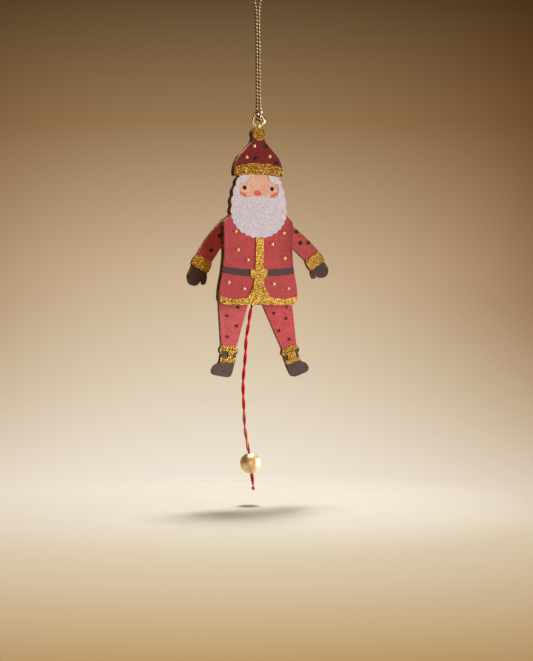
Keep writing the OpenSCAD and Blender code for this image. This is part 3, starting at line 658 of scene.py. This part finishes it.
gold_thread = thread("gold_thread", "#bc9850", "#ffeec0", groove_shade=0.1, ridge=0.62, metallic=0.4, roughness=0.4)
red_thread = thread("red_thread", "#cc0c16", "#fa222e", groove_shade=0.7, ridge=0.5, metallic=0.0, roughness=0.75,
                    painted_pale=("#e08478", PULL_PALE_FROM_Z, PULL_PALE_FULL_Z, BEAD_Z))


# Hanging cord: one cord from the hitch up over the hanging point and down again

def gold_piece(name, line, solid):
    twisted = plies(line, HANG_TONES, (HANG_CORD_D - HANG_PLY) / 2, HANG_PITCH)
    piece = tubes(name, twisted, HANG_PLY, HANG_SIDES, gold_thread)
    return stand_in(piece, "figure", "gold_cord", solid)


def on_eye(place, round_wire, reach):
    """Point near the eye's wire: degrees round the ring, degrees round the wire from outside to back,
    distance from the wire's middle."""
    ring = math.radians(place)
    wire = math.radians(round_wire)
    out = EYE_R + reach * math.cos(wire)
    local = Vector((out * math.cos(ring), reach * math.sin(wire), out * math.sin(ring)))
    return EYE_CENTRE + Matrix.Rotation(math.radians(EYE_TURN), 3, "Z") @ local


def make_hitch():
    """Cow hitch: each strand goes down behind the wire, hangs slack in the ring and comes up in front of it,
    and a bight joins the two behind."""
    left = [on_eye(EYE_TOP + off, wire, reach * WRAP_R) for off, wire, reach in HITCH_TURN]
    right = [on_eye(EYE_TOP - off, wire, reach * WRAP_R) for off, wire, reach in HITCH_TURN]
    bight = [on_eye(EYE_TOP + off, wire, reach * WRAP_R) for off, wire, reach in HITCH_BIGHT]
    coming = millimetres(HANG_ROUTE[:2])[::-1]
    going = millimetres(HANG_ROUTE[-2:])[::-1]
    route = coming + left + bight + right[::-1] + going
    return gold_piece("hanging_hitch", even(smooth(route, ROUTE_STEPS), HITCH_STEP), "hang_hitch")


def make_hang_cord():
    route = even(smooth(millimetres(HANG_ROUTE), ROUTE_STEPS), HANG_STEP)
    cord = gold_piece("hanging_cord", route, "hang_cord")
    hitch = make_hitch()


make_hang_cord()


# Pull cord, ties and their knots

def spun(lines, ply, string, pitch):
    """Two plies along each line."""
    made = []
    for line in lines:
        made += plies(even(line, RED_STEP), RED_TONES, (string - ply) / 2, pitch)
    return made


def knot_line(middle, radius, half_length):
    """Trefoil of one string, its length along Z."""
    made = []
    for i in range(TREFOIL_STEPS + 1):
        t = 2 * math.pi * i / TREFOIL_STEPS
        x = (math.sin(t) + 2 * math.sin(2 * t)) / TREFOIL_REACH
        y = (math.cos(t) - 2 * math.cos(2 * t)) / TREFOIL_REACH
        made.append(middle + Vector((x * radius, y * radius, -math.sin(3 * t) * half_length)))
    return made


def red_piece(name, lines, ply, solid):
    piece = tubes(name, lines, ply, RED_SIDES, red_thread)
    return stand_in(piece, "pull", "red_string", solid)


def red_string(name, line, string, solid):
    """Piece of one string along a line."""
    ply = PLY_SHARE * string
    return red_piece(name, spun([line], ply, string, PITCH_SHARE * string), ply, solid)


def red_knot(name, solid, string, share=1.0):
    """Overhand knot that fills the box of its solid, or a share of it."""
    low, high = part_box(solid)
    half = share * (high - low) / 2
    line = knot_line(centre_of(solid), half.x - string / 2, half.z - string / 2)
    return red_string(name, line, string, solid)


def make_pull_cord():
    route = even(smooth(millimetres(PULL_ROUTE, centre_of("leg_tie_knot")), ROUTE_STEPS), PULL_STEP)
    pair = [line for line, _, _ in plies(route, RED_TONES, PULL_CORD_D / 4, PULL_PITCH)]
    cord = red_piece("pull_string", spun(pair, STRAND_PLY, STRAND_D, STRAND_PITCH), STRAND_PLY, "pull_cord")
    end = red_knot("pull_string_end", "end_knot", END_STRAND_D, END_KNOT_SHARE)


def make_tie(limb):
    """Tie string through two levers, and its middle knot."""
    low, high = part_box(limb + "_tie_string")
    level = (low.z + high.z) / 2
    back = high.y - TIE_D / 2
    reach = high.x - TIE_D / 2
    bend = TIE_BEND * TIE_D
    half = [Vector((reach, low.y, level))]
    for degrees in range(0, 91, TIE_BEND_STEP):
        a = math.radians(degrees)
        half.append(Vector((reach - bend * (1 - math.cos(a)), back - bend + bend * math.sin(a), level)))
    line = half + [Vector((-p.x, p.y, p.z)) for p in reversed(half)]
    red_string(limb + "_tie", even(line, RED_STEP), TIE_D, limb + "_tie_string")
    red_knot(limb + "_knot", limb + "_tie_knot", TIE_D)
    make_stoppers(limb, level)


def make_stoppers(limb, level):
    """Flat knots at the ends of a tie string, at its height."""
    low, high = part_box(limb + "_tie_stoppers")
    flat = (high.y - low.y) / 2
    radius = (high.z - low.z) / 2
    upright = knot_line(Vector(), radius - flat / 2, flat / 2)
    loops = []
    for side in (-1, 1):
        middle = Vector((side * (high.x - radius), (low.y + high.y) / 2, level))
        loop = [middle + Vector((p.x, p.z, p.y)) for p in upright]
        loops.append((loop, [middle] * len(loop), 1))
    red_piece(limb + "_stoppers", loops, flat, limb + "_tie_stoppers")


def make_arm_strand():
    """Strand from the knot of the arm tie down to that of the leg tie."""
    low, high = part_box("arm_strand")
    middle = (low + high) / 2
    line = even([Vector((middle.x, middle.y, high.z)), Vector((middle.x, middle.y, low.z))], RED_STEP)
    red_piece("arm_string", spun([line], STRAND_PLY, STRAND_D, STRAND_PITCH), STRAND_PLY, "arm_strand")


make_pull_cord()
make_tie("arm")
make_tie("leg")
make_arm_strand()


# Boards, sheets and raised layers

def dress(material, *names):
    for name in names:
        data = nodes[name].data
        data.materials.clear()
        data.materials.append(material)


body_board = wood("body_wood", BODY_PALE_TO_Y)
limb_board = wood("limb_wood")
leg_board = wood("leg_wood", LEG_PALE_TO_Y, LEG_PALE_TO_Z)
gold = glitter("gold_glitter", "#765219", "#a67f32", "#cea950", **GOLD_FLAKES)
# Darker copy of the gold glitter for the hat band, pompom and right boot trim: painted shade on the hat's
# top, where less light falls
shaded_gold = glitter("shaded_gold_glitter", "#583a0e", "#8a6124", "#b68c3c", **GOLD_FLAKES)
# Darker copies of the gold glitter for the cuffs, the right one darkest: painted shade, set to how each cuff
# is lit
left_cuff_shaded = glitter("left_cuff_shaded_glitter", "#6f4a10", "#9c7324", "#c09a3b", **GOLD_FLAKES)
right_cuff_shaded = glitter("right_cuff_shaded_glitter", "#4f340c", "#7e5920", "#a68037", **GOLD_FLAKES)
white = glitter("white_glitter", "#c2bac4", "#cdc7d1", "#dad5df", **WHITE_FLAKES)
green = glitter("green_glitter", "#151106", "#211b0c", "#352d18", **DARK_FLAKES)
brown = glitter("brown_glitter", "#33190d", "#4c2b1a", "#684030", **DARK_FLAKES)

dress(body_board, "body_board")
dress(limb_board, *ending("arm_board", "washer"))
dress(leg_board, "left_leg_board", "right_leg_board")
dress(body_print(), "body_face_sheet")
for side in ("left", "right"):
    shoulder = joints[side + "_arm_swing"]
    hip = joints[side + "_leg_swing"]
    to_cuff = centre_of(side + "_arm_cuff") - shoulder
    sleeve_length = math.hypot(to_cuff.x, to_cuff.z)
    dress(limb_print(side + "_arm_print", shoulder, SLEEVE[side], sleeve_length, MITTEN),
          side + "_arm_face_sheet")
    dress(limb_print(side + "_leg_print", hip, TROUSERS[side], BOOT_FROM_HIP[side], BOOT[side]),
          side + "_leg_face_sheet")
    dress(green, side + "_arm_dots")
    dress(brown, side + "_leg_dots")
dress(gold, "coat_trim", "left_boot_trim")
dress(shaded_gold, "hat_band", "pompom", "right_boot_trim")
dress(left_cuff_shaded, "left_arm_cuff")
dress(right_cuff_shaded, "right_arm_cuff")
dress(green, "hat_dark_dots")
dress(brass("eye_brass", "#cdb78c", roughness=0.16), "screw_eye")
dress(brass("pin_brass", "#b98a3c", roughness=0.28), *ending("_pin"))
dress(gold_paint("bead_gold", "#e2bc7e", "#f6e2b8", metallic=0.75, roughness=0.42), "bead")


# Dots

def dots_in(name):
    """Low and high corner of each dot in a node."""
    groups = []
    for vertex in nodes[name].data.vertices:
        point = nodes[name].matrix_world @ vertex.co
        near = [group for group in groups if (group[0] - point).length < DOTS_APART]
        if near:
            near[0].append(point)
        else:
            groups.append([point])
    return [[Vector(map(pick, zip(*group))) for pick in (min, max)] for group in groups]


def make_drops(name, node, body, slot, material, height, at_most_x=math.inf):
    """Drops on a node's dots; one that lies past at_most_x sits there, where the coat doesn't hide it."""
    corners = []
    faces = []
    for low, high in dots_in(node):
        middle = (low + high) / 2
        middle.x = min(middle.x, at_most_x)
        radius = (high.x - low.x) / 2
        first = len(corners)
        for ring in range(DROP_RINGS):
            tilt = math.pi / 2 * ring / DROP_RINGS
            out = radius * math.cos(tilt)
            front = high.y - height * math.sin(tilt)
            for k in range(DROP_SIDES):
                turn = 2 * math.pi * k / DROP_SIDES
                corners.append((middle.x + out * math.cos(turn), front, middle.z + out * math.sin(turn)))
        tip = len(corners)
        top = tip - DROP_SIDES
        corners.append((middle.x, high.y - height, middle.z))
        faces += walls(first, top, DROP_SIDES)
        faces += [(top + k, top + (k + 1) % DROP_SIDES, tip) for k in range(DROP_SIDES)]
        faces.append([first + k for k in reversed(range(DROP_SIDES))])
    stand_in(add_mesh(name, corners, faces, material), body, slot, node)


dot_gold = gold_paint("dot_gold", "#b28042", "#deb06c", metallic=0.3, roughness=0.46)
make_drops("coat_drops", "coat_dots", "figure", "gold_glitter", dot_gold, DROP_H)
make_drops("hat_drops", "hat_gold_dots", "figure", "gold_glitter", dot_gold, DROP_H)
make_drops("left_arm_drops", "left_arm_dots", "left_arm", "dark_print", green, DARK_DROP_H, CLEAR_OF_COAT_X)


# Beard, and the rounding of edges

def make_beard():
    """Layer with the outline of the beard's solid, and a share of its thickness."""
    node = nodes["beard"]
    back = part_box("beard")[1].y
    corners = [node.matrix_world @ vertex.co for vertex in node.data.vertices]
    for corner in corners:
        corner.y = back + BEARD_RELIEF * (corner.y - back)
    faces = [list(face.vertices) for face in node.data.polygons]
    beard = add_mesh("beard_layer", corners, faces, white, is_smooth=False)
    return stand_in(beard, "figure", "white_glitter", "beard")


def round_edges(width, *pieces):
    """Small rounding of the edges between a piece's faces and its sides."""
    for piece in pieces:
        bevel = piece.modifiers.new("rounding", "BEVEL")
        bevel.width = width
        bevel.segments = ROUNDING_STEPS
        bevel.limit_method = "ANGLE"
        bevel.angle_limit = math.radians(ROUNDING_FROM)


layers = ending("_cuff", "_trim", "_dots", "hat_band", "pompom")
round_edges(LAYER_ROUNDING, *[nodes[name] for name in layers])
round_edges(SHEET_ROUNDING, *[nodes[name] for name in ending("face_sheet")])
round_edges(BEARD_ROUNDING, make_beard())


# Floor, lights and backdrop

def make_floor():
    """Pale floor under the figure that fades into the backdrop."""
    shader = Shader("pale_floor", roughness=0.85)
    tone = shader.noise(scale=30)
    shader.set("Base Color", shader.ramp(tone, (0.3, linear("#bdbbaf")), (0.7, linear("#c0beb2"))))
    level = shader.vector_math("MULTIPLY", shader.place, (1, 1, 0))[0]
    away = shader.vector_math("LENGTH", level)["Value"]
    shader.set("Alpha", shader.ramp(away, (FLOOR_FADES, (1, 1, 1)), (FLOOR_FADED, (0, 0, 0))))
    ring = [2 * math.pi * k / FLOOR_CORNERS for k in range(FLOOR_CORNERS)]
    corners = [(FLOOR_R * math.cos(a), FLOOR_R * math.sin(a), FLOOR_Z) for a in ring]
    add_mesh("floor", corners, [range(FLOOR_CORNERS)], shader.material, is_smooth=False)


def make_light(name, azimuth, elevation, distance, size, power, colour):
    """Round soft light."""
    data = bpy.data.lights.new(name, "AREA")
    data.shape = "DISK"
    data.size = size
    data.energy = power
    data.color = linear(colour)[:3]
    add_facing(name, data, FIGURE_MIDDLE, direction(azimuth, elevation), distance)


def make_world():
    """Backdrop that is dark above and pale at the floor for what sees it, and even light for the rest."""
    world = bpy.data.worlds.new("studio")
    world.use_nodes = True
    tree = Nodes(world.node_tree)
    rays = tree.node("LightPath").outputs
    seen = tree.math("MAXIMUM", rays["Is Camera Ray"], rays["Is Glossy Ray"])
    seen = tree.math("MAXIMUM", seen, rays["Is Transmission Ray"])
    look = tree.node("TexCoord").outputs["Generated"]
    up = tree.axes(look)[2]
    slope = tree.share(up, BACKDROP_LOW, BACKDROP_HIGH)
    colour = tree.ramp(slope, *[(at, linear(code)) for at, code in BACKDROP])
    across = tree.vector_math("DOT_PRODUCT", look, view_right())["Value"]
    off_glow = tree.square(tree.math("SUBTRACT", across, GLOW_MIDDLE))
    above = tree.share(up, GLOW_LOW, GLOW_HIGH)
    fall = tree.math("MULTIPLY", off_glow, tree.level(above, GLOW_FALL_LOW, GLOW_FALL_HIGH))
    least = tree.level(above, GLOW_LEAST_LOW, GLOW_LEAST_HIGH)
    glow = tree.math("MAXIMUM", tree.math("SUBTRACT", 1.0, fall), least)
    tinted = {i: tree.math("POWER", glow, power) for i, power in enumerate(GLOW_TINT)}
    backdrop = tree.times(colour, tree.node("CombineXYZ", tinted).outputs[0])
    background = tree.tree.nodes["Background"]
    tree.put(background.inputs["Color"], tree.mix(seen, WORLD_LIGHT, backdrop))
    scene.world = world


make_floor()
for name, values in LIGHTS.items():
    make_light(name, *values)
make_world()
